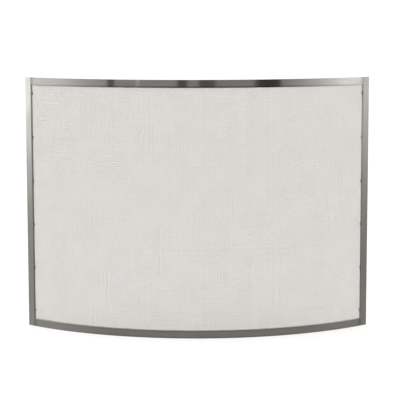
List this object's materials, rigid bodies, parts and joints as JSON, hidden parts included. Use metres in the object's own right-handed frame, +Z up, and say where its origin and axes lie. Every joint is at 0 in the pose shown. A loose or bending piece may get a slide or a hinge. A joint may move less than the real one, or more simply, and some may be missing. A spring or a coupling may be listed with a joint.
{
  "type": "fireplace screen",
  "caption": "Free-standing bowed fireplace screen: one rigid panel of woven wire cloth in a polished flat-bar metal frame, curved in plan with its convex side to the room.",
  "frame": {"origin": "middle of the screen's footprint, at floor level", "axes": "+Z up; +X along the screen's width, to the right as seen from the room; the convex front faces -Y and the hearth lies towards +Y"},
  "size_m": [1.1174, 0.2154, 0.82],
  "materials": {
    "polished_frame": "polished nickel over steel, with faint lengthwise brushing",
    "wire_cloth": "plain woven steel wire, satin",
    "clamp_strip_steel": "satin",
    "clip_steel": "satin",
    "screw_steel": "bright zinc"
  },
  "bodies": {
    "root": {"top_rail": "polished_frame", "bottom_rail": "polished_frame", "left_stile": "polished_frame", "right_stile": "polished_frame", "mesh_panel": "wire_cloth", "top_clamp_strip": "clamp_strip_steel", "bottom_clamp_strip": "clamp_strip_steel", "left_clamp_strip": "clamp_strip_steel", "right_clamp_strip": "clamp_strip_steel", "top_clips": "clip_steel", "bottom_clips": "clip_steel", "left_clips": "clip_steel", "right_clips": "clip_steel", "top_screws": "screw_steel", "bottom_screws": "screw_steel", "left_screws": "screw_steel", "right_screws": "screw_steel"}
  },
  "joints": []
}
